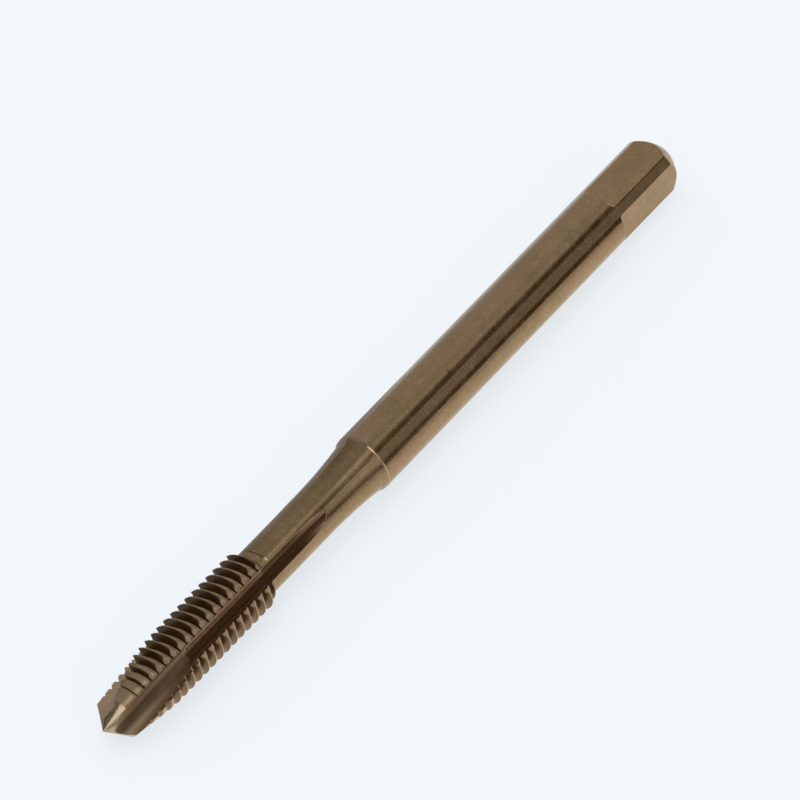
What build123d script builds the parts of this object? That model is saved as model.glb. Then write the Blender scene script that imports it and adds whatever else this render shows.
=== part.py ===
from build123d import *
import os
from math import cos, radians, sin, sqrt, tan

os.makedirs("parts", exist_ok=True)

# A spiral-point machine tap, ground from one bar of high-speed steel.
# It is drawn standing on its point with the axis on Z, then laid along X at the end.
# In a cross-section, X is the direction a flute is ground from and Y is the side its cutting face is on.

# Thread
thread_diameter = 6.0
pitch = 1.0
crest_flat = pitch / 8
root_flat = pitch / 6
flank_angle = 30.0  # each side of the groove
thread_start = 2.55 * pitch
thread_end = 20.7

# Body, lengths measured from the tip of the point
overall_length = 82.0
shank_diameter = 6.0
shank_start = 37.2
lip_height = 0.24  # step from the end of the flare up to the shank
lip_rounding = 1.0
neck_diameter = 4.7
flare_start = 29.8
point_diameter = 4.7
point_half_angle = 49.0
lead_length = 4.9 * pitch
end_face_diameter = 3.3
end_cone_length = 1.4
end_crown = 0.08  # bulge of the end cone over a straight side

# Three straight flutes, each run out on the neck by the rim of the grinding wheel
flute_count = 3
flute_radius = 0.74
flute_offset = 0.58  # centre line of the flute, moved towards its cutting face
flute_floor = 1.4
flute_heel_lean = 12.0
flute_straight_end = 25.2
wheel_radius = 12.2
wheel_sweep = 45.0  # turn about the wheel's axis that carries the cut clear of the bar

# Spiral-point grind along the front of each flute
nose_radius = 1.3
nose_end = 9.9
nose_floor_at_tip = -0.25
nose_offset_at_tip = 1.85
nose_rise = 0.17  # per millimetre of length
nose_drift = -0.149
nose_heel_lean = 29.4

# Driving square
square_across_flats = 4.9
square_length = 9.3
square_root_radius = 0.3
square_turn = 52.3  # turn of its first flat from the first flute

lay_angle = 120.4  # turn of the first flute about the axis, as the tap comes to rest

thread_radius = thread_diameter / 2
shank_radius = shank_diameter / 2
neck_radius = neck_diameter / 2
point_radius = point_diameter / 2
heel_lean_of_flute = radians(flute_heel_lean)


def threaded_front():
    """Thread cut along a plain cylinder, then the point, the lead and the bevel behind the last thread."""
    point_length = point_radius / tan(radians(point_half_angle))
    lead_slope = (thread_radius - point_radius) / lead_length
    margin = 0.3
    bevel_end = thread_end + thread_radius - neck_radius
    with BuildSketch(Plane.XZ) as half:
        with BuildLine():
            Polyline(
                (0, 0),
                (point_radius, point_length),
                (thread_radius + margin, point_length + lead_length + margin / lead_slope),
                (thread_radius + margin, thread_end - margin),
                (neck_radius - margin, bevel_end + margin),
                (0, bevel_end + margin),
                close=True,
            )
        make_face()
    blank = Cylinder(thread_radius, bevel_end + pitch, align=(Align.CENTER, Align.CENTER, Align.MIN))
    return (blank - thread_groove()) & revolve(half.sketch, Axis.Z)


def thread_groove():
    """Right-hand 60 degree groove, as one helical solid from inside a flute to just past the last thread."""
    slope = tan(radians(flank_angle))
    crest_half = (pitch - crest_flat) / 2
    root_half = root_flat / 2
    root_radius = thread_radius - (crest_half - root_half) / slope
    outer_half = (pitch / 2 + crest_half) / 2
    outer_radius = thread_radius + (outer_half - crest_half) / slope
    with BuildSketch(Plane.XZ) as section:
        with BuildLine():
            Polyline(
                (root_radius, -root_half),
                (outer_radius, -outer_half),
                (outer_radius, outer_half),
                (root_radius, root_half),
                close=True,
            )
        make_face()
    path = Helix(pitch=pitch, height=thread_end + pitch - thread_start, radius=root_radius)
    return Pos(0, 0, thread_start) * sweep(section.sketch, path=path, is_frenet=True)


def shank():
    """Neck, the curve that flares from it, the rounded lip, the round shank and its crowned end cone."""
    flare_end = shank_start - sqrt(lip_height * (2 * lip_rounding - lip_height))
    flare_radius = shank_radius - lip_height
    cone_start = Vector(shank_radius, overall_length - end_cone_length)
    cone_end = Vector(end_face_diameter / 2, overall_length)
    cone_side = cone_end - cone_start
    cone_middle = (cone_start + cone_end) / 2 + Vector(cone_side.Y, -cone_side.X).normalized() * end_crown
    with BuildSketch(Plane.XZ) as half:
        with BuildLine():
            Polyline((0, thread_end - pitch), (neck_radius, thread_end - pitch), (neck_radius, flare_start))
            TangentArc((neck_radius, flare_start), (flare_radius, flare_end), tangent=(0, 1))
            TangentArc((shank_radius, shank_start), (flare_radius, flare_end), tangent=(0, -1))
            Line((shank_radius, shank_start), cone_start)
            ThreePointArc(cone_start, cone_middle, cone_end)
            Polyline(cone_end, (0, overall_length), (0, thread_end - pitch))
        make_face()
    return revolve(half.sketch, Axis.Z)


def groove_section(centre, radius, heel_lean):
    """Section of a ground groove: a round bottom, a straight cutting face and a heel wall that leans back."""
    reach = thread_diameter
    heel_foot = centre + Vector(-sin(heel_lean), -cos(heel_lean)) * radius
    heel_top = heel_foot + Vector(cos(heel_lean), -sin(heel_lean)) * reach
    bottom = centre + Vector(-radius, 0)
    face_foot = centre + Vector(0, radius)
    face_top = face_foot + Vector(reach, 0)
    with BuildSketch(Plane.XY) as section:
        with BuildLine():
            ThreePointArc(heel_foot, bottom, face_foot)
            Polyline(face_foot, face_top, heel_top, heel_foot)
        make_face()
    return section.sketch


def flute_cutter():
    """Straight channel, ended by the arc of the wheel."""
    section = groove_section(Vector(flute_floor + flute_radius, flute_offset), flute_radius, heel_lean_of_flute)
    straight = extrude(Pos(0, 0, -1) * section, flute_straight_end + 1, dir=(0, 0, 1))
    wheel_axis = Axis((flute_floor + wheel_radius, 0, flute_straight_end), (0, 1, 0))
    return straight + revolve(Pos(0, 0, flute_straight_end) * section, wheel_axis, wheel_sweep)


def nose_cutter():
    """Wider groove sunk towards the axis at the point, rising to a round end inside the flute."""
    before_tip = 1.0
    centre = Vector(nose_floor_at_tip + nose_radius, nose_offset_at_tip)
    slant = Vector(nose_rise, nose_drift, 1)
    start = centre - slant * before_tip
    end = centre + slant * nose_end
    section = groove_section(Vector(start.X, start.Y), nose_radius, radians(nose_heel_lean))
    run = slant * (nose_end + before_tip)
    channel = extrude(Pos(0, 0, -before_tip) * section, run.length, dir=run)
    ball = Pos(end.X, end.Y, end.Z) * Sphere(nose_radius)
    return channel + ball - behind_heel()


def behind_heel():
    """Everything past the heel wall of the flute, which the nose grind leaves standing."""
    reach = 3 * thread_diameter
    foot_x = flute_floor + flute_radius - sin(heel_lean_of_flute) * flute_radius
    foot_y = flute_offset - cos(heel_lean_of_flute) * flute_radius
    block = Box(2 * reach, reach, 4 * reach, align=(Align.CENTER, Align.MAX, Align.CENTER))
    return Pos(foot_x, foot_y, 0) * Rot(0, 0, -flute_heel_lean) * block


def flat_cutter():
    """Milling cut for one side of the driving square, with a rounded root at its shoulder."""
    flat = square_across_flats / 2
    shoulder = overall_length - square_length
    with BuildSketch(Plane.XZ) as side:
        with Locations((flat, shoulder)):
            Rectangle(shank_diameter, square_length + 1, align=(Align.MIN, Align.MIN))
        root = side.vertices().sort_by_distance((flat, 0, shoulder))[0]
        fillet(root, square_root_radius)
    return extrude(side.sketch, shank_radius, both=True)


tap = threaded_front() + shank()

flute = flute_cutter() + nose_cutter()
for i in range(flute_count):
    tap -= Rot(0, 0, 360 / flute_count * i) * flute

flat = flat_cutter()
for i in range(4):
    tap -= Rot(0, 0, square_turn + 90 * i) * flat

# The axis goes along X, the point towards -X, and the face of the square end on the origin.
along_x = Plane(origin=(-overall_length, 0, 0), x_dir=(0, 1, 0), z_dir=(1, 0, 0))
tap = along_x.location * Rot(0, 0, lay_angle) * tap

export_step(tap, "parts/tap.step")
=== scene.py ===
import math

import bpy
from mathutils import Euler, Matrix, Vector


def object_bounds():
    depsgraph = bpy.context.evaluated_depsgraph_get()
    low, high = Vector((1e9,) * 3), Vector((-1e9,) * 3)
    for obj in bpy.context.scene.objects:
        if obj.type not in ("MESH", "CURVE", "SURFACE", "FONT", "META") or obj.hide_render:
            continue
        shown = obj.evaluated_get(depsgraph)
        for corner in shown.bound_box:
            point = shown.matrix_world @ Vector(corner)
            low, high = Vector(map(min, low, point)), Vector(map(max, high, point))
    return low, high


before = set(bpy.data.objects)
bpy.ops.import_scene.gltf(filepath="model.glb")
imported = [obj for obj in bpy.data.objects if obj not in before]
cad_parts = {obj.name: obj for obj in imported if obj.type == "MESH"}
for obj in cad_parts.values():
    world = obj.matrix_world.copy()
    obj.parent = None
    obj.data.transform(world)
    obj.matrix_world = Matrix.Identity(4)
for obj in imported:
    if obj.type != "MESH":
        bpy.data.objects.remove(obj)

MM = 0.001
CAD_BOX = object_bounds()
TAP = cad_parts["tap"]

# Lengths in millimetres, measured from the tip of the point, which stands at x = -LENGTH
LENGTH = (CAD_BOX[1][0] - CAD_BOX[0][0]) / MM
CONE_END = 2.05
LEAD_LENGTH = 4.9
NOSE_END = 9.9
THREAD_END = 20.7
NECK_START = 21.8
FLARE_START = 29.8
FLUTE_END = 31.5
FLARE_END = 36.55
SHANK_START = 37.2

POINT_RADIUS = 2.35
NECK_RADIUS = 2.35
THREAD_RADIUS = 3.0
LEAD_SLOPE = (THREAD_RADIUS - POINT_RADIUS) / LEAD_LENGTH
SMALLEST_RADIUS = 0.05  # keeps divisions by the radius finite on the axis

# How far the normals of turned surfaces lean towards the point
CONE_LEAN = math.radians(49.0)
FLARE_LEAN = math.radians(7.0)
LIP_EDGE_LEAN = math.radians(49.0)
NECK_LEAN = math.radians(1.2)
HEEL_ROUND = math.radians(11.0)  # turn of the heel wall's normals, back over the land

# Angle of one heel edge round the axis, in degrees from +Y towards +Z, and angles counted back from it
HEEL_EDGE = 113.6
LAND_SPACING = 120.0
FACE_EDGE = 87.1
FLUTE_MIDDLE = 113.2
EDGE_WIDTH = 10.0
EDGE_SOFTNESS = 4.0

# The trace that the threading tool left as it ran out on the neck, and a nick on the shank
TRACE_START = 22.2
TRACE_PITCH = 1.4
TRACE_ANGLES = (HEEL_EDGE - 95.0, HEEL_EDGE - 1.0)
TRACE_SOFTNESS = 2.0
NICK_ALONG = 48.4
NICK_TURN = 111.0
NICK_LENGTH = 0.12
NICK_ANGLE = 7.0

# Ramps: the value where a mask is 0, then the value where it is 1. Here they are lengths and angles.
# A softness is how far a ramp reaches to either side of its middle.
NEAR_CONE = (0.15, 0.12)
NEAR_LEAD = (0.06, 0.04)
LEAD_SOFTNESS = 0.02
NECK_SOFTNESS = 0.3
BEFORE_CONE_END = (CONE_END + 0.04, CONE_END)
PAST_CONE_END = (CONE_END, CONE_END + 0.3)
BEFORE_NOSE_END = (NOSE_END + 0.55, NOSE_END + 0.25)
BEFORE_THREAD_END = (THREAD_END + 0.8, THREAD_END + 0.5)
BEFORE_FLUTE_END = (FLUTE_END, FLUTE_END - 0.5)
PAST_FLARE_END = (FLARE_END - 0.06, FLARE_END)
BEFORE_SHANK = (SHANK_START + 0.01, SHANK_START)
ON_LIP_EDGE = (SHANK_START - 0.17, SHANK_START - 0.12)
UNDER_NECK = (NECK_RADIUS, NECK_RADIUS - 0.05)
HEEL_WALL_HEIGHT = (1.55, 1.9)
HEEL_TOP_HEIGHT = (2.35, 2.65)
SIDE_WALL_HEIGHT = (1.7, 2.3)
CREST_HEIGHT = (2.6, 2.8)
EDGE_HEIGHT = (2.5, 2.8)
BESIDE_HEEL = (20.0, 6.0)
NOSE_FACE_SIDE = (1.15, 1.75)
TRACE_HEIGHT = (2.6, 2.5)
TRACE_WIDTH = (0.09, 0.04)
TRACE_TIP = (HEEL_EDGE - 14.0, HEEL_EDGE - 9.0)
NICK_SPREAD = (1.3, 0.5)

# Ramps of a facet's normal, by its share along the axis, away from the axis or round the axis
LIKE_CONE = (0.80, 0.90)
FLANK_ALONG = (0.35, 0.7)
FLOOR_ALONG = (0.6, 0.4)
CHEEK_ALONG = (0.5, 0.3)
CHEEK_OUTWARD = (0.75, 0.5)
WALL_OUTWARD = (0.80, 0.45)
CREST_OUTWARD = (0.9, 0.97)
HEEL_WALL_ROUND = (0.35, 0.75)
HEEL_SIDE_ROUND = (-0.05, 0.4)
NOSE_HEEL_ROUND = (-0.30, 0.55)

# Crests beside the heel, pale partly from wear and partly as a painted highlight: the radius where the
# pale starts, away from the heel and beside it, and its ragged edge
WEAR_RADII = (3.05, 2.5)
WEAR_RAGGED = 0.12
WEAR_STEEPNESS = 5.0

# Noise: scale per millimetre, octaves of detail and roughness of the detail
RINGS = (1.0, 4.0, 0.65)
LINES = (1.0, 3.0, 0.6)
PITS = (5.5, 3.0, 0.7)
SPECKS = (3.2, 2.0, 0.6)
CLOUDS = (0.32, 4.0, 0.55)
TINTS = (0.55, 3.0, 0.6)
PATCHES = (0.8, 2.0, 0.5)
RAGGED = (4.0, 2.0, 0.6)

# Stretch of the grinding lines along the axis, then round it or across it
RING_STRETCH = (12.0, 2.4)
LINE_STRETCH = (0.8, 14.0)

# Ramps of noise
EVEN = (0.35, 0.65)
SPECKLED = (0.4, 0.6)
CLOUDY = (0.38, 0.62)
ROSE_TINTS = (0.52, 0.68)
OLIVE_TINTS = (0.48, 0.32)
PITTED = (0.48, 0.30)
SPARKLING = (0.54, 0.70)
SPARK_PATCHES = (0.42, 0.58)
BRIGHT_STROKES = (0.55, 0.75)
RAGGED_RANGE = (0.3, 0.7)

# Colours of the oxide, pairs a darker and a lighter shade; the flanks are darker between the threads, the
# paler channel and nose sides are painted light, and the spark is a painted glint
STRAW = ((0.325, 0.228, 0.122), (0.368, 0.247, 0.145))
FLANK = ((0.105, 0.058, 0.032), (0.145, 0.085, 0.05))
CHANNEL = ((0.062, 0.030, 0.012), (0.100, 0.051, 0.024))
SIDE_WALL_LIGHT = ((0.46, 0.305, 0.20), (0.56, 0.375, 0.255))
NOSE = ((0.150, 0.104, 0.062), (0.178, 0.125, 0.078))
CHANNEL_HEEL_SIDE_LIGHT = (0.58, 0.41, 0.28)
NOSE_FACE_LIGHT = (0.41, 0.305, 0.20)
NOSE_HEEL_LIGHT = (0.52, 0.375, 0.26)
# painted glint: the colour of bright specks of sparkle
SPARK = (0.54, 0.43, 0.30)

# Coats over the oxide: a colour, and how strongly it covers what lies under it
ROSE_COAT = ((0.400, 0.250, 0.180), 0.38)
OLIVE_COAT = ((0.275, 0.215, 0.100), 0.42)
PIT_COAT = ((0.15, 0.10, 0.05), 0.45)
STROKE_COAT = ((0.48, 0.38, 0.26), 0.25)
LEAD_COAT = ((0.56, 0.43, 0.27), 0.5)
CREST_COAT = ((0.50, 0.37, 0.27), 0.5)
CONE_COAT = ((0.49, 0.395, 0.30), 0.8)
# painted highlight: a bright line along the lip's edge
LIP_HIGHLIGHT_COAT = ((0.60, 0.47, 0.34), 0.6)
TRACE_COAT = ((0.05, 0.03, 0.015), 0.7)
# painted highlight: the bright end of the trace near the heel
TRACE_TIP_HIGHLIGHT_COAT = ((0.85, 0.70, 0.50), 1.0)
NICK_COAT = ((0.06, 0.04, 0.02), 0.6)

# Speckled coats: a colour, and its strength between the specks and on them
# painted highlight together with wear: pale crests beside the heel
WORN_AND_SHEEN_COAT = ((0.42, 0.305, 0.215), 0.3, 0.85)
HEEL_TOP_COAT = ((0.50, 0.37, 0.27), 0.6, 1.0)
CUTTING_EDGE_COAT = ((0.50, 0.37, 0.27), 0.1, 0.4)

# Strengths; a pair is the least and the most
FLANK_COVER = 0.66
SPARK_COVER = (0.08, 0.38)
HEEL_SIDE_COVER = (0.45, 0.9)  # on the neck and in the thread
HEEL_WALL_ROUNDING = (0.35, 0.7)  # on the neck and in the thread
HEEL_TOP_ROUNDING = 0.95
WORN_ROUNDING = 0.85
CUTTING_EDGE_ROUNDING = 0.2

GROUND_ROUGHNESS = (0.11, 0.17)
CHANNEL_ROUGHNESS = 0.36
NOSE_ROUGHNESS = 0.50
FLANK_ROUGHNESS = 0.28

BUMP_STRENGTH = 0.35
BUMP_DEPTH = 0.02 * MM
STROKE_HEIGHT = 0.35
PIT_HEIGHT = 0.6
SPECK_HEIGHT = (0.25, 0.7)

# Direction of the camera, seen from the tap, and its lens; distances from here on are in metres
AZIMUTH = math.radians(-52.181)
ELEVATION = math.radians(53.163)
TARGET = Vector((-0.041, 0.0, 0.0))
BACK = Vector((
    math.sin(AZIMUTH) * math.cos(ELEVATION),
    -math.cos(AZIMUTH) * math.cos(ELEVATION),
    math.sin(ELEVATION),
))
DISTANCE = 0.6761
FOCAL_PIXELS = 7483.5
FRAME_PIXELS = 800
SENSOR = 36.0
SHIFT = (0.01315, 0.04536)
NEAREST_SEEN = 0.01

# Table, with the tap's lowest line on it
FLOOR_Z = CAD_BOX[0][2]
FLOOR_HALF = 1.5
PAPER = (0.30, 0.319, 0.338)
BACKDROP = (0.888, 0.939, 0.983)
SEEN_LEVEL = 0.76
MELT_DISTANCE = (0.10, 0.35)  # where the table melts into the backdrop, counted from its middle

# The table as the tap mirrors it, in its near half on the camera's side and in its far half.
# Levels are those beside the tap and farther off; ramps are in metres from under the target.
NEAR_HALF_COLOUR = (0.98, 0.93, 0.85)
FAR_HALF_COLOUR = (0.95, 0.99, 1.05)
NEAR_HALF_LEVELS = (0.75, 0.42)
FAR_HALF_LEVELS = (0.58, 0.32)
FAR_HALF_SHARES = (1.0, 0.4)  # towards the square, and towards the point
BEHIND_THREAD_LEVEL = 0.08
IN_FAR_HALF = (-0.001, 0.002)
OFF_NEAR_SIDE = (-0.004, -0.03)
OFF_FAR_SIDE = (0.010, 0.03)
TOWARDS_POINT = (0.011, 0.005)
BEHIND_AXIS = (0.001, 0.006)
BESIDE_THREAD = (-0.012, -0.024)

LAMP_PLACE = TARGET + Vector((-0.05, 0.18, 0.6))
LAMP_SIDES = (0.5, 0.4)
LAMP_WATTS = 0.9

# Light tent: pairs of an angle round the tap's axis, in degrees from the camera's side, and a level
PAST_SQUARE_LEVELS = (
    (-180, 0.48), (-75, 0.56), (-48, 0.59), (-36, 0.50), (-22, 0.50), (-17, 0.53), (-12, 0.47),
    (-4, 0.09), (9, 0.08), (14, 0.27), (43, 0.27), (47, 0.09), (60, 0.08), (66, 0.38), (180, 0.55),
)
OVERHEAD_LEVELS = (
    (-180, 0.40), (-110, 0.28), (-85, 0.29), (-58, 0.37), (-30, 0.38), (-24, 0.40), (-19, 0.80),
    (-11, 0.80), (-3, 0.29), (4, 0.28), (12, 0.66), (35, 0.68), (46, 0.40), (52, 0.24), (57, 0.26),
    (66, 0.50), (180, 0.55),
)
SIDE_LEVELS = (
    (-180, 0.50), (-128, 0.50), (-122, 0.10), (-112, 0.10), (-104, 0.85), (-72, 0.85), (-62, 0.30),
    (-30, 0.42), (-18, 0.95), (2, 0.95), (12, 0.30), (30, 0.42), (44, 0.80), (55, 0.80), (60, 0.10),
    (70, 0.10), (76, 0.50), (180, 0.50),
)

# Ramps of the tent, by the direction that light comes from: x along the tap, y and z across it
OVERHEAD_X = (0.466, 0.415)
SIDES_X = (0.18, 0.06)
FAR_CORNER_X = (0.57, 0.66)
FAR_CORNER_ANGLES = (-25.2, -43.2)
PAST_POINT_X = (-0.45, -0.75)
WALL_RISE_Z = (0.10, 0.25)
WALL_LEVELS = (0.06, 0.35)
END_LAMP_X = (0.6, 0.8)
END_LAMP_Z = (0.25, 0.45)
END_LAMP_LEVEL = 0.3
WINDOW_Y = (-0.12, 0.16)
SIDE_WINDOW_Y = (-0.62, -0.12)
WINDOW_Z = (0.07, 0.55)
WINDOW_X = (-0.6, -0.7)
WINDOW_SOFTNESS = 0.03
SIDE_WINDOW_SOFTNESS = 0.05
SIDE_WINDOW_SHARE = 0.45
WINDOW_LEVEL = 1.2
DIM_LEVELS = (0.34, 0.10)
BRIGHT_TINT = (1.0, 0.975, 0.94)
DIM_TINT = (1.0, 0.76, 0.36)


def ring_share(angle):
    """Share of the way round from -180 to 180 degrees."""
    return (angle + 180) / 360


class Nodes:
    """Short way to write shader nodes: most calls return the output socket of what they make."""

    def __init__(self, tree):
        self.tree = tree
        tree.nodes.clear()

    def node(self, kind, **settings):
        made = self.tree.nodes.new(kind)
        for name, value in settings.items():
            setattr(made, name, value)
        return made

    def feed(self, socket, value):
        """Links a socket to another node's output, or sets it to a number, a vector or a colour."""
        if isinstance(value, bpy.types.NodeSocket):
            self.tree.links.new(value, socket)
        elif socket.type == "RGBA":
            socket.default_value = (*value, 1.0)
        else:
            socket.default_value = value

    def output(self, kind, shader):
        self.feed(self.node(kind).inputs[0], shader)

    def math(self, operation, a, b=0.0, c=None, clamp=False):
        made = self.node("ShaderNodeMath", operation=operation, use_clamp=clamp)
        self.feed(made.inputs[0], a)
        self.feed(made.inputs[1], b)
        if c is not None:
            self.feed(made.inputs[2], c)
        return made.outputs[0]

    def add(self, a, b):
        return self.math("ADD", a, b)

    def less(self, a, b):
        """a less b."""
        return self.math("SUBTRACT", a, b)

    def outside(self, mask):
        return self.math("SUBTRACT", 1.0, mask)

    def most(self, a, b):
        return self.math("MAXIMUM", a, b)

    def times(self, first, *others):
        product = first
        for factor in others:
            product = self.math("MULTIPLY", product, factor)
        return product

    def apart(self, a, b):
        """Distance between two numbers."""
        return self.math("ABSOLUTE", self.less(a, b))

    def vector(self, operation, value):
        made = self.node("ShaderNodeVectorMath", operation=operation)
        self.feed(made.inputs[0], value)
        return made

    def scaled(self, value, factor):
        made = self.vector("SCALE", value)
        made.inputs["Scale"].default_value = factor
        return made.outputs["Vector"]

    def unit(self, value):
        return self.vector("NORMALIZE", value).outputs["Vector"]

    def length(self, value):
        return self.vector("LENGTH", value).outputs["Value"]

    def split(self, value):
        made = self.node("ShaderNodeSeparateXYZ")
        self.feed(made.inputs[0], value)
        return tuple(made.outputs)

    def combine(self, x, y, z):
        made = self.node("ShaderNodeCombineXYZ")
        for socket, value in zip(made.inputs, (x, y, z)):
            self.feed(socket, value)
        return made.outputs[0]

    def spread(self, value, start, end, kind="LINEAR"):
        """Carries the range start over to the range end, and stops at its limits."""
        made = self.node("ShaderNodeMapRange", interpolation_type=kind)
        self.feed(made.inputs["Value"], value)
        for socket, number in zip(("From Min", "From Max", "To Min", "To Max"), (*start, *end)):
            made.inputs[socket].default_value = number
        return made.outputs["Result"]

    def step(self, value, ramp):
        """0 at the first number of the ramp and 1 at the second, smooth between and level beyond."""
        zero_at, one_at = ramp
        if zero_at < one_at:
            return self.spread(value, (zero_at, one_at), (0.0, 1.0), "SMOOTHSTEP")
        return self.spread(value, (one_at, zero_at), (1.0, 0.0), "SMOOTHSTEP")

    def band(self, value, low, high, soft):
        """1 from low to high and 0 elsewhere, with a ramp at each end whose softness is soft."""
        past_low = self.step(value, (low - soft, low + soft))
        before_high = self.step(value, (high + soft, high - soft))
        return self.times(past_low, before_high)

    def mix(self, factor, a, b):
        made = self.node("ShaderNodeMix", data_type="RGBA")
        self.feed(made.inputs[0], factor)
        self.feed(made.inputs[6], a)
        self.feed(made.inputs[7], b)
        return made.outputs[2]

    def blend(self, factor, a, b):
        made = self.node("ShaderNodeMix", data_type="FLOAT")
        self.feed(made.inputs[0], factor)
        self.feed(made.inputs[2], a)
        self.feed(made.inputs[3], b)
        return made.outputs[0]

    def coat(self, under, mask, coat):
        tint, strength = coat
        return self.mix(self.times(mask, strength), under, tint)

    def speckled_coat(self, under, mask, specks, coat):
        tint, least, full = coat
        return self.mix(self.times(mask, self.blend(specks, least, full)), under, tint)

    def noise(self, vector, scale, detail, rough):
        made = self.node("ShaderNodeTexNoise")
        self.feed(made.inputs["Vector"], vector)
        made.inputs["Scale"].default_value = scale
        made.inputs["Detail"].default_value = detail
        made.inputs["Roughness"].default_value = rough
        return made.outputs["Fac"]

    def ring(self, share, levels):
        """Level of light round the axis, where share is how far round a direction is."""
        made = self.node("ShaderNodeValToRGB")
        self.feed(made.inputs[0], share)
        elements = made.color_ramp.elements
        while len(elements) < len(levels):
            elements.new(0.5)
        for element, (angle, level) in zip(elements, levels):
            element.position = ring_share(angle)
            element.color = (level, level, level, 1.0)
        return made.outputs[0]

    def change_space(self, normal, before, after):
        made = self.node(
            "ShaderNodeVectorTransform", vector_type="NORMAL", convert_from=before, convert_to=after,
        )
        self.feed(made.inputs[0], normal)
        return made.outputs[0]

    def to_world(self, normal):
        return self.change_space(normal, "OBJECT", "WORLD")

    def turn_normal(self, factor, a, b):
        made = self.node("ShaderNodeMix", data_type="VECTOR")
        self.feed(made.inputs[0], factor)
        self.feed(made.inputs[4], a)
        self.feed(made.inputs[5], b)
        return self.unit(made.outputs[1])

    def light(self, kind, tint, strength=1.0):
        """An emission or a background."""
        made = self.node(kind)
        self.feed(made.inputs["Color"], tint)
        self.feed(made.inputs["Strength"], strength)
        return made.outputs[0]

    def mix_shaders(self, factor, a, b):
        made = self.node("ShaderNodeMixShader")
        for socket, value in zip(made.inputs, (factor, a, b)):
            self.feed(socket, value)
        return made.outputs[0]


class Spot:
    """Where a point of the surface lies on the tap, in millimetres and degrees, and how it faces."""

    def __init__(self, nodes):
        self.in_mm = nodes.scaled(nodes.node("ShaderNodeTexCoord").outputs["Object"], 1 / MM)
        x, self.y, self.z = nodes.split(self.in_mm)
        self.along = nodes.add(x, LENGTH)
        squares = nodes.add(nodes.times(self.y, self.y), nodes.times(self.z, self.z))
        self.radius = nodes.math("SQRT", squares)

        # Unit vector away from the axis, and the angle round it
        safe_radius = nodes.most(self.radius, SMALLEST_RADIUS)
        self.away_y = nodes.math("DIVIDE", self.y, safe_radius)
        self.away_z = nodes.math("DIVIDE", self.z, safe_radius)
        self.turn = nodes.times(nodes.math("ARCTAN2", self.z, self.y), 180 / math.pi)

        # Angle back from the heel edge ahead, and distance from a flute's middle towards its face
        self.behind = nodes.math("WRAP", nodes.less(HEEL_EDGE, self.turn), LAND_SPACING, 0.0)
        past_middle = nodes.times(nodes.less(FLUTE_MIDDLE, self.behind), math.pi / 180)
        self.across = nodes.times(self.radius, nodes.math("SINE", past_middle))

        # The facet's own normal, as its shares along the axis, away from it and round it
        geometry = nodes.node("ShaderNodeNewGeometry")
        facet_normal = nodes.change_space(geometry.outputs["True Normal"], "WORLD", "OBJECT")
        self.facing_x, facing_y, facing_z = nodes.split(nodes.unit(facet_normal))
        self.lengthwise = nodes.math("ABSOLUTE", self.facing_x)
        self.outward = nodes.add(nodes.times(facing_y, self.away_y), nodes.times(facing_z, self.away_z))
        self.sideways = nodes.less(nodes.times(facing_z, self.away_y), nodes.times(facing_y, self.away_z))
        self.smooth_normal = geometry.outputs["Normal"]


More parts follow.
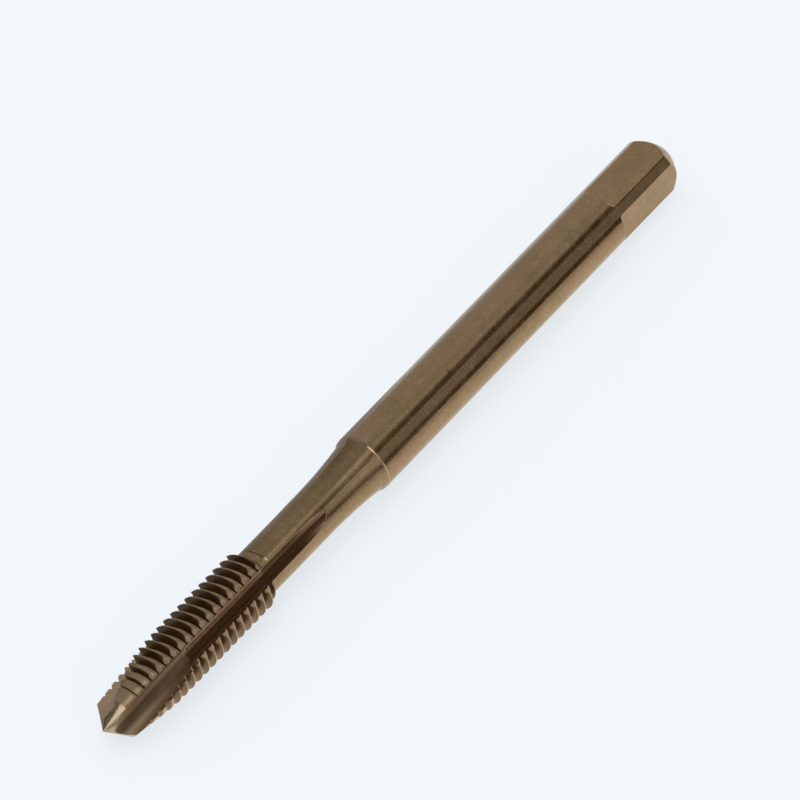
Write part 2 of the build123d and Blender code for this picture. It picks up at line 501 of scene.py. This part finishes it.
class Masks:
    """Where each ground surface lies: 1 on it and 0 off it."""

    def __init__(self, nodes, spot):
        along, radius = spot.along, spot.radius

        off_cone = nodes.apart(radius, nodes.times(along, math.tan(CONE_LEAN)))
        like_cone = nodes.less(
            nodes.times(spot.outward, math.cos(CONE_LEAN)),
            nodes.times(spot.facing_x, math.sin(CONE_LEAN)),
        )
        self.cone = nodes.times(
            nodes.step(off_cone, NEAR_CONE),
            nodes.step(along, BEFORE_CONE_END),
            nodes.step(like_cone, LIKE_CONE),
        )

        past_cone_end = nodes.less(along, CONE_END)
        lead_radius = nodes.math("MULTIPLY_ADD", past_cone_end, LEAD_SLOPE, POINT_RADIUS)
        off_lead = nodes.apart(radius, lead_radius)
        beside_lead = nodes.band(along, CONE_END - LEAD_SOFTNESS, CONE_END + LEAD_LENGTH, LEAD_SOFTNESS)
        self.lead = nodes.times(nodes.step(off_lead, NEAR_LEAD), beside_lead)

        self.threaded = nodes.times(
            nodes.step(along, BEFORE_THREAD_END), nodes.step(along, PAST_CONE_END),
        )
        self.flank = nodes.times(self.threaded, nodes.step(spot.lengthwise, FLANK_ALONG))

        # Flutes are what lies deeper than the neck, and walls that don't face away from the axis
        deep = nodes.times(nodes.step(radius, UNDER_NECK), nodes.step(spot.lengthwise, FLOOR_ALONG))
        cheek = nodes.times(
            nodes.step(spot.outward, CHEEK_OUTWARD), nodes.step(spot.lengthwise, CHEEK_ALONG),
        )
        beside_flute = nodes.step(along, BEFORE_FLUTE_END)
        self.fluted = nodes.times(nodes.most(deep, cheek), beside_flute, nodes.outside(self.cone))
        self.nosed = nodes.step(along, BEFORE_NOSE_END)
        self.side_wall = nodes.times(
            nodes.step(spot.outward, WALL_OUTWARD), nodes.step(radius, SIDE_WALL_HEIGHT),
        )
        self.heel_wall = nodes.times(
            nodes.step(spot.sideways, HEEL_WALL_ROUND),
            nodes.step(radius, HEEL_WALL_HEIGHT),
            self.fluted,
            nodes.outside(self.nosed),
        )
        self.heel_top = nodes.times(self.heel_wall, nodes.step(radius, HEEL_TOP_HEIGHT), self.threaded)

        self.crest = nodes.times(
            self.threaded, nodes.step(spot.outward, CREST_OUTWARD), nodes.step(radius, CREST_HEIGHT),
        )
        edge_zone = nodes.band(spot.behind, FACE_EDGE - EDGE_WIDTH, FACE_EDGE, EDGE_SOFTNESS)
        self.cutting_edge = nodes.times(edge_zone, self.threaded, nodes.step(radius, EDGE_HEIGHT))
        self.worn_and_sheen = self.worn_and_sheen_crests(nodes, spot)

        self.neck = nodes.times(
            nodes.band(along, NECK_START, FLARE_START, NECK_SOFTNESS), nodes.outside(self.fluted),
        )
        self.lip = nodes.times(nodes.step(along, PAST_FLARE_END), nodes.step(along, BEFORE_SHANK))
        self.lip_edge = nodes.step(along, ON_LIP_EDGE)

    def worn_and_sheen_crests(self, nodes, spot):
        """Beside the heel the crests are pale down to a ragged line, partly from wear and partly as a
        painted highlight.
        """
        beside_heel = nodes.step(spot.behind, BESIDE_HEEL)
        ragged = nodes.spread(
            nodes.noise(spot.in_mm, *RAGGED), RAGGED_RANGE, (-WEAR_RAGGED, WEAR_RAGGED),
        )
        height = nodes.less(nodes.add(spot.radius, ragged), nodes.blend(beside_heel, *WEAR_RADII))
        worn_and_sheen = nodes.math("MULTIPLY", height, WEAR_STEEPNESS, clamp=True)
        return nodes.times(worn_and_sheen, self.threaded, beside_heel, nodes.outside(self.fluted))


class Grain:
    """Noise of several sizes, and the strokes of grinding: round the bar, but along the flutes."""

    def __init__(self, nodes, spot, masks):
        along_rings, round_rings = RING_STRETCH
        ring_place = nodes.combine(
            nodes.times(spot.along, along_rings),
            nodes.times(spot.away_y, round_rings),
            nodes.times(spot.away_z, round_rings),
        )
        along_lines, across_lines = LINE_STRETCH
        line_place = nodes.combine(
            nodes.times(spot.along, along_lines),
            nodes.times(spot.y, across_lines),
            nodes.times(spot.z, across_lines),
        )
        rings = nodes.noise(ring_place, *RINGS)
        lines = nodes.noise(line_place, *LINES)
        self.strokes = nodes.blend(masks.fluted, rings, lines)
        self.pits = nodes.noise(spot.in_mm, *PITS)
        self.specks = nodes.noise(spot.in_mm, *SPECKS)
        self.clouds = nodes.noise(spot.in_mm, *CLOUDS)
        self.tints = nodes.noise(spot.in_mm, *TINTS)
        self.patches = nodes.noise(spot.in_mm, *PATCHES)


class Marks:
    """The threading tool's trace on the neck, the trace's tip with a painted highlight, and the nick on
    the shank.
    """

    def __init__(self, nodes, spot):
        climb = nodes.math("DIVIDE", nodes.less(spot.turn, HEEL_EDGE), 360.0 / TRACE_PITCH)
        off_trace = nodes.apart(nodes.less(spot.along, TRACE_START), climb)
        self.trace = nodes.times(
            nodes.step(off_trace, TRACE_WIDTH),
            nodes.band(spot.turn, *TRACE_ANGLES, TRACE_SOFTNESS),
            nodes.step(spot.radius, TRACE_HEIGHT),
        )
        self.trace_tip = nodes.times(self.trace, nodes.step(spot.turn, TRACE_TIP))
        nick_along = nodes.math("DIVIDE", nodes.less(spot.along, NICK_ALONG), NICK_LENGTH)
        nick_round = nodes.math("DIVIDE", nodes.less(spot.turn, NICK_TURN), NICK_ANGLE)
        off_nick = nodes.add(nodes.times(nick_along, nick_along), nodes.times(nick_round, nick_round))
        self.nick = nodes.step(off_nick, NICK_SPREAD)


def straw_colour(nodes, grain):
    """Straw oxide with rose and olive clouds, dark pits, bright specks that are painted glints, and
    bright grinding strokes.
    """
    straw = nodes.mix(nodes.step(grain.clouds, CLOUDY), *STRAW)
    straw = nodes.coat(straw, nodes.step(grain.tints, ROSE_TINTS), ROSE_COAT)
    straw = nodes.coat(straw, nodes.step(grain.tints, OLIVE_TINTS), OLIVE_COAT)
    straw = nodes.coat(straw, nodes.step(grain.pits, PITTED), PIT_COAT)
    # painted glints: bright specks of sparkle, thicker in patches
    spark_cover = nodes.blend(nodes.step(grain.patches, SPARK_PATCHES), *SPARK_COVER)
    straw = nodes.mix(nodes.times(nodes.step(grain.specks, SPARKLING), spark_cover), straw, SPARK)
    return nodes.coat(straw, nodes.step(grain.strokes, BRIGHT_STROKES), STROKE_COAT)


def flute_colour(nodes, spot, grain, masks, shade):
    """Dark bronze in the channel and brown in the spiral-point grind; the channel's heel side and walls
    and the grind's face and heel sides are painted paler, as painted light.
    """
    channel = nodes.mix(nodes.step(grain.pits, EVEN), *CHANNEL)
    # painted light: the channel's heel side and its side walls get paler colours, lit copies of the dark
    # bronze
    heel_side = nodes.step(spot.sideways, HEEL_SIDE_ROUND)
    heel_side = nodes.times(heel_side, nodes.blend(masks.threaded, *HEEL_SIDE_COVER))
    channel = nodes.mix(heel_side, channel, CHANNEL_HEEL_SIDE_LIGHT)
    channel = nodes.mix(masks.side_wall, channel, nodes.mix(shade, *SIDE_WALL_LIGHT))
    # painted light: the grind is given paler colours on its face side and its heel side, lit copies of
    # its brown
    nose = nodes.mix(shade, *NOSE)
    nose = nodes.mix(nodes.step(spot.across, NOSE_FACE_SIDE), nose, NOSE_FACE_LIGHT)
    nose = nodes.mix(nodes.step(spot.sideways, NOSE_HEEL_ROUND), nose, NOSE_HEEL_LIGHT)
    return nodes.mix(masks.nosed, channel, nose)


def steel_colour(nodes, spot, grain, masks, marks):
    """Oxide of every surface, with the coats of its edges and marks laid over it one by one; among them
    are painted light and painted highlights.
    """
    shade = nodes.step(grain.tints, EVEN)
    specks = nodes.step(grain.specks, SPECKLED)
    body = straw_colour(nodes, grain)
    # darker on the thread flanks, between the threads
    body = nodes.coat(body, masks.flank, (nodes.mix(shade, *FLANK), FLANK_COVER))
    body = nodes.coat(body, masks.lead, LEAD_COAT)
    body = nodes.mix(masks.fluted, body, flute_colour(nodes, spot, grain, masks, shade))
    body = nodes.coat(body, masks.crest, CREST_COAT)
    # painted highlight together with wear: the crests beside the heel are pale
    body = nodes.speckled_coat(body, masks.worn_and_sheen, specks, WORN_AND_SHEEN_COAT)
    body = nodes.speckled_coat(body, masks.heel_top, specks, HEEL_TOP_COAT)
    body = nodes.speckled_coat(body, masks.cutting_edge, specks, CUTTING_EDGE_COAT)
    body = nodes.coat(body, masks.cone, CONE_COAT)
    # painted highlight: a bright line along the lip's edge
    body = nodes.coat(body, nodes.times(masks.lip, masks.lip_edge), LIP_HIGHLIGHT_COAT)
    body = nodes.coat(body, marks.trace, TRACE_COAT)
    # painted highlight at the trace's end near the heel
    body = nodes.coat(body, marks.trace_tip, TRACE_TIP_HIGHLIGHT_COAT)
    return nodes.coat(body, marks.nick, NICK_COAT)


def steel_roughness(nodes, grain, masks):
    ground = nodes.blend(nodes.step(grain.patches, EVEN), *GROUND_ROUGHNESS)
    flute = nodes.blend(masks.nosed, CHANNEL_ROUGHNESS, NOSE_ROUGHNESS)
    return nodes.blend(masks.flank, nodes.blend(masks.fluted, ground, flute), FLANK_ROUGHNESS)


def steel_normal(nodes, spot, masks):
    """Normals of the true turned surfaces, smoother than the facets, and of rounded edges that wear has
    smoothed.
    """
    lean = nodes.blend(masks.lip_edge, FLARE_LEAN, LIP_EDGE_LEAN)
    lean = nodes.blend(masks.lead, lean, math.atan(LEAD_SLOPE))
    lean = nodes.blend(masks.cone, lean, CONE_LEAN)
    upright = nodes.math("COSINE", lean)
    turned = nodes.to_world(nodes.combine(
        nodes.times(nodes.math("SINE", lean), -1.0),
        nodes.times(spot.away_y, upright),
        nodes.times(spot.away_z, upright),
    ))
    radial = nodes.to_world(nodes.combine(0.0, spot.away_y, spot.away_z))
    rounded = nodes.to_world(nodes.combine(
        0.0,
        nodes.math("MULTIPLY_ADD", spot.away_z, math.tan(HEEL_ROUND), spot.away_y),
        nodes.math("MULTIPLY_ADD", spot.away_y, -math.tan(HEEL_ROUND), spot.away_z),
    ))
    to_point = nodes.to_world((-1.0, 0.0, 0.0))

    turned_exactly = nodes.most(nodes.most(masks.cone, masks.lead), masks.lip)
    heel_rounding = nodes.blend(masks.threaded, *HEEL_WALL_ROUNDING)
    heel_rounding = nodes.blend(masks.heel_top, heel_rounding, HEEL_TOP_ROUNDING)

    normal = nodes.turn_normal(turned_exactly, spot.smooth_normal, turned)
    normal = nodes.turn_normal(nodes.times(masks.worn_and_sheen, WORN_ROUNDING), normal, radial)
    normal = nodes.turn_normal(nodes.times(masks.heel_wall, heel_rounding), normal, rounded)
    normal = nodes.turn_normal(nodes.times(masks.cutting_edge, CUTTING_EDGE_ROUNDING), normal, radial)
    return nodes.turn_normal(nodes.times(masks.neck, math.sin(NECK_LEAN)), normal, to_point)


def bumped(nodes, grain, normal):
    """The normal with fine relief on it: grinding strokes, pits and specks."""
    height = nodes.add(nodes.times(grain.strokes, STROKE_HEIGHT), nodes.times(grain.pits, PIT_HEIGHT))
    speck_height = nodes.blend(nodes.step(grain.patches, SPECKLED), *SPECK_HEIGHT)
    height = nodes.add(height, nodes.times(grain.specks, speck_height))
    bump = nodes.node("ShaderNodeBump")
    bump.inputs["Strength"].default_value = BUMP_STRENGTH
    bump.inputs["Distance"].default_value = BUMP_DEPTH
    nodes.feed(bump.inputs["Height"], height)
    nodes.feed(bump.inputs["Normal"], normal)
    return bump.outputs[0]


def steel_material():
    """High-speed steel tempered to a straw and bronze oxide, ground all over."""
    material = bpy.data.materials.new("tool_steel")
    material.use_nodes = True
    nodes = Nodes(material.node_tree)
    spot = Spot(nodes)
    masks = Masks(nodes, spot)
    grain = Grain(nodes, spot, masks)
    marks = Marks(nodes, spot)

    shader = nodes.node("ShaderNodeBsdfPrincipled")
    shader.inputs["Metallic"].default_value = 1.0
    nodes.feed(shader.inputs["Base Color"], steel_colour(nodes, spot, grain, masks, marks))
    nodes.feed(shader.inputs["Roughness"], steel_roughness(nodes, grain, masks))
    nodes.feed(shader.inputs["Normal"], bumped(nodes, grain, steel_normal(nodes, spot, masks)))
    nodes.output("ShaderNodeOutputMaterial", shader.outputs[0])
    return material


def mirrored_table(nodes, place):
    """Colour and level of the table where the tap mirrors it; place is counted from under the target."""
    x, y, _ = nodes.split(place)
    in_far_half = nodes.step(y, IN_FAR_HALF)
    near_half = nodes.blend(nodes.step(y, OFF_NEAR_SIDE), *NEAR_HALF_LEVELS)
    far_half = nodes.blend(nodes.step(y, OFF_FAR_SIDE), *FAR_HALF_LEVELS)
    far_half = nodes.times(far_half, nodes.blend(nodes.step(x, TOWARDS_POINT), *FAR_HALF_SHARES))
    level = nodes.blend(in_far_half, near_half, far_half)
    behind_thread = nodes.times(nodes.step(y, BEHIND_AXIS), nodes.step(x, BESIDE_THREAD))
    level = nodes.blend(behind_thread, level, BEHIND_THREAD_LEVEL)
    return nodes.mix(in_far_half, NEAR_HALF_COLOUR, FAR_HALF_COLOUR), level


def paper_material():
    """Pale blue-white table, lifted by a glow where it is seen or mirrored, under which shadows stay."""
    material = bpy.data.materials.new("pale_paper")
    material.use_nodes = True
    nodes = Nodes(material.node_tree)
    path = nodes.node("ShaderNodeLightPath")
    directly = path.outputs["Is Camera Ray"]
    mirrored = path.outputs["Is Glossy Ray"]
    place = nodes.node("ShaderNodeTexCoord").outputs["Object"]

    diffuse = nodes.node("ShaderNodeBsdfDiffuse")
    nodes.feed(diffuse.inputs["Color"], PAPER)
    mirrored_colour, mirrored_level = mirrored_table(nodes, place)
    glow_colour = nodes.mix(mirrored, BACKDROP, mirrored_colour)
    glow_level = nodes.blend(mirrored, SEEN_LEVEL, mirrored_level)
    glow_level = nodes.times(nodes.add(directly, mirrored), glow_level)
    glow = nodes.light("ShaderNodeEmission", glow_colour, glow_level)
    paper = nodes.node("ShaderNodeAddShader")
    nodes.feed(paper.inputs[0], diffuse.outputs[0])
    nodes.feed(paper.inputs[1], glow)

    backdrop = nodes.light("ShaderNodeEmission", BACKDROP)
    melted = nodes.times(nodes.step(nodes.length(place), MELT_DISTANCE), directly)
    nodes.output("ShaderNodeOutputMaterial", nodes.mix_shaders(melted, paper.outputs[0], backdrop))
    return material


def tent_level(nodes, x, y, z):
    """Level of light from a direction: rings round the tap, a dim wall past the point, and windows."""
    turn = nodes.less(nodes.math("ARCTAN2", z, y), math.atan2(BACK.z, BACK.y))
    turn = nodes.math("WRAP", turn, math.pi, -math.pi)
    share = nodes.spread(turn, (-math.pi, math.pi), (0.0, 1.0))
    past_square = nodes.ring(share, PAST_SQUARE_LEVELS)
    overhead = nodes.ring(share, OVERHEAD_LEVELS)
    sides = nodes.ring(share, SIDE_LEVELS)

    far_corner_shares = tuple(ring_share(angle) for angle in FAR_CORNER_ANGLES)
    far_corner = nodes.times(nodes.step(x, FAR_CORNER_X), nodes.step(share, far_corner_shares))
    level = nodes.mix(nodes.step(x, OVERHEAD_X), past_square, overhead)
    level = nodes.mix(nodes.most(nodes.step(x, SIDES_X), far_corner), level, sides)

    wall = nodes.blend(nodes.step(z, WALL_RISE_Z), *WALL_LEVELS)
    level = nodes.times(level, nodes.blend(nodes.step(x, PAST_POINT_X), 1.0, wall))
    end_lamp = nodes.times(nodes.step(x, END_LAMP_X), nodes.step(z, END_LAMP_Z), END_LAMP_LEVEL)
    level = nodes.add(level, end_lamp)

    side_window = nodes.times(nodes.band(y, *SIDE_WINDOW_Y, SIDE_WINDOW_SOFTNESS), SIDE_WINDOW_SHARE)
    window = nodes.times(
        nodes.add(nodes.band(y, *WINDOW_Y, WINDOW_SOFTNESS), side_window),
        nodes.band(z, *WINDOW_Z, WINDOW_SOFTNESS),
        nodes.step(x, WINDOW_X),
        WINDOW_LEVEL,
    )
    return nodes.add(level, window)


def studio_world():
    """Light tent with dim gaps on the camera's side, which the camera itself sees as a plain backdrop."""
    world = bpy.data.worlds.new("light_tent")
    bpy.context.scene.world = world
    world.use_nodes = True
    nodes = Nodes(world.node_tree)
    level = tent_level(nodes, *nodes.split(nodes.node("ShaderNodeTexCoord").outputs["Generated"]))
    tint = nodes.mix(nodes.step(level, DIM_LEVELS), BRIGHT_TINT, DIM_TINT)
    tent = nodes.light("ShaderNodeBackground", tint, level)
    backdrop = nodes.light("ShaderNodeBackground", BACKDROP)
    directly = nodes.node("ShaderNodeLightPath").outputs["Is Camera Ray"]
    nodes.output("ShaderNodeOutputWorld", nodes.mix_shaders(directly, tent, backdrop))


def floor():
    mesh = bpy.data.meshes.new("table")
    corners = [
        (-FLOOR_HALF, -FLOOR_HALF, 0),
        (FLOOR_HALF, -FLOOR_HALF, 0),
        (FLOOR_HALF, FLOOR_HALF, 0),
        (-FLOOR_HALF, FLOOR_HALF, 0),
    ]
    mesh.from_pydata(corners, [], [(0, 1, 2, 3)])
    table = bpy.data.objects.new("table", mesh)
    table.location = (TARGET.x, 0, FLOOR_Z)
    bpy.context.scene.collection.objects.link(table)
    mesh.materials.append(paper_material())


def soft_light():
    lamp = bpy.data.lights.new("overhead", "AREA")
    lamp.shape = "RECTANGLE"
    lamp.size, lamp.size_y = LAMP_SIDES
    lamp.energy = LAMP_WATTS
    holder = bpy.data.objects.new("overhead", lamp)
    holder.location = LAMP_PLACE
    holder.rotation_euler = (TARGET - LAMP_PLACE).to_track_quat("-Z", "Y").to_euler()
    holder.visible_glossy = False
    bpy.context.scene.collection.objects.link(holder)


def camera():
    lens = bpy.data.cameras.new("camera")
    lens.sensor_width = SENSOR
    lens.lens = FOCAL_PIXELS / FRAME_PIXELS * SENSOR
    lens.shift_x, lens.shift_y = SHIFT
    lens.clip_start = NEAREST_SEEN
    holder = bpy.data.objects.new("camera", lens)
    holder.location = TARGET + BACK * DISTANCE
    holder.rotation_euler = Euler((math.pi / 2 - ELEVATION, 0, AZIMUTH))
    bpy.context.scene.collection.objects.link(holder)
    bpy.context.scene.camera = holder


TAP.data.materials.clear()
TAP.data.materials.append(steel_material())
studio_world()
floor()
soft_light()
camera()
bpy.context.scene.view_settings.view_transform = "Standard"
